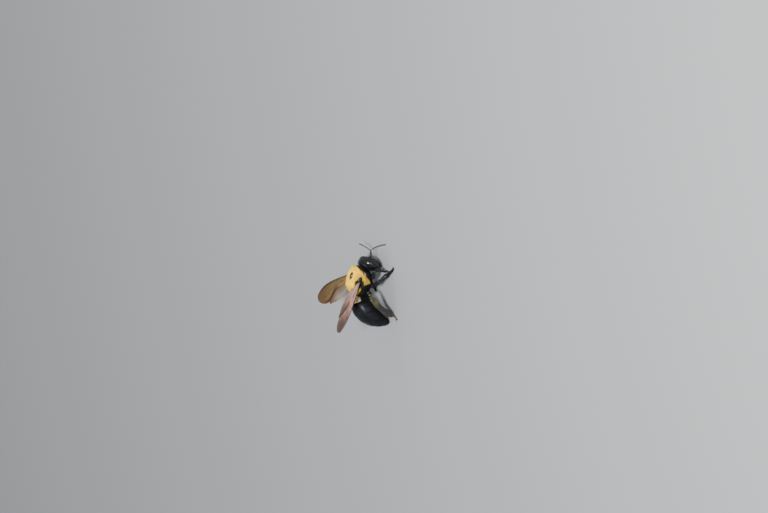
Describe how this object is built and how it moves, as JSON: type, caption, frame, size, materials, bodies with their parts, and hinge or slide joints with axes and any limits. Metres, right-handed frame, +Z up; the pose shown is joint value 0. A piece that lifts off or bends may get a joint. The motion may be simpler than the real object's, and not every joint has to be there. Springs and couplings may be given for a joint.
{
  "type": "carpenter bee",
  "caption": "Life-size standing carpenter bee, head low and tail curled under, with half-open wings, feelers and hairy legs.",
  "frame": {"origin": "centre of the footprint's bounding box, on the plane that the six feet stand on", "axes": "+Z up from the floor, -Y towards the head, +X to the bee's left"},
  "size_m": [0.025, 0.0252, 0.0179],
  "materials": {
    "pile": "dense golden yellow body hair",
    "shell": "glossy black shell",
    "leg_hair": "stiff black hair over black shell",
    "eye": "dark compound eye, finely faceted",
    "wing": "smoky amber membrane with dark veins",
    "foot": "dark brown foot joints"
  },
  "bodies": {
    "root": {"abdomen_1": "shell", "abdomen_2": "shell", "abdomen_3": "shell", "abdomen_4": "shell", "abdomen_5": "shell", "abdomen_6": "shell", "antenna_flagellum_left": "shell", "antenna_flagellum_right": "shell", "antenna_scape_left": "shell", "antenna_scape_right": "shell", "eye_left": "eye", "eye_right": "eye", "forewing_left": "wing", "forewing_right": "wing", "head": "shell", "hindwing_left": "wing", "hindwing_right": "wing", "labrum": "shell", "leg_fore_left_basitarsus": "leg_hair", "leg_fore_left_coxa": "leg_hair", "leg_fore_left_femur": "shell", "leg_fore_left_tarsus": "foot", "leg_fore_left_tibia": "leg_hair", "leg_fore_right_basitarsus": "leg_hair", "leg_fore_right_coxa": "leg_hair", "leg_fore_right_femur": "shell", "leg_fore_right_tarsus": "foot", "leg_fore_right_tibia": "leg_hair", "leg_hind_left_basitarsus": "leg_hair", "leg_hind_left_coxa": "leg_hair", "leg_hind_left_femur": "shell", "leg_hind_left_tarsus": "foot", "leg_hind_left_tibia": "leg_hair", "leg_hind_right_basitarsus": "leg_hair", "leg_hind_right_coxa": "leg_hair", "leg_hind_right_femur": "shell", "leg_hind_right_tarsus": "foot", "leg_hind_right_tibia": "leg_hair", "leg_mid_left_basitarsus": "leg_hair", "leg_mid_left_coxa": "leg_hair", "leg_mid_left_femur": "shell", "leg_mid_left_tarsus": "foot", "leg_mid_left_tibia": "leg_hair", "leg_mid_right_basitarsus": "leg_hair", "leg_mid_right_coxa": "leg_hair", "leg_mid_right_femur": "shell", "leg_mid_right_tarsus": "foot", "leg_mid_right_tibia": "leg_hair", "mandible_left": "shell", "mandible_right": "shell", "neck": "shell", "proboscis": "shell", "tegula_left": "shell", "tegula_right": "shell", "thorax": "pile"}
  },
  "joints": []
}
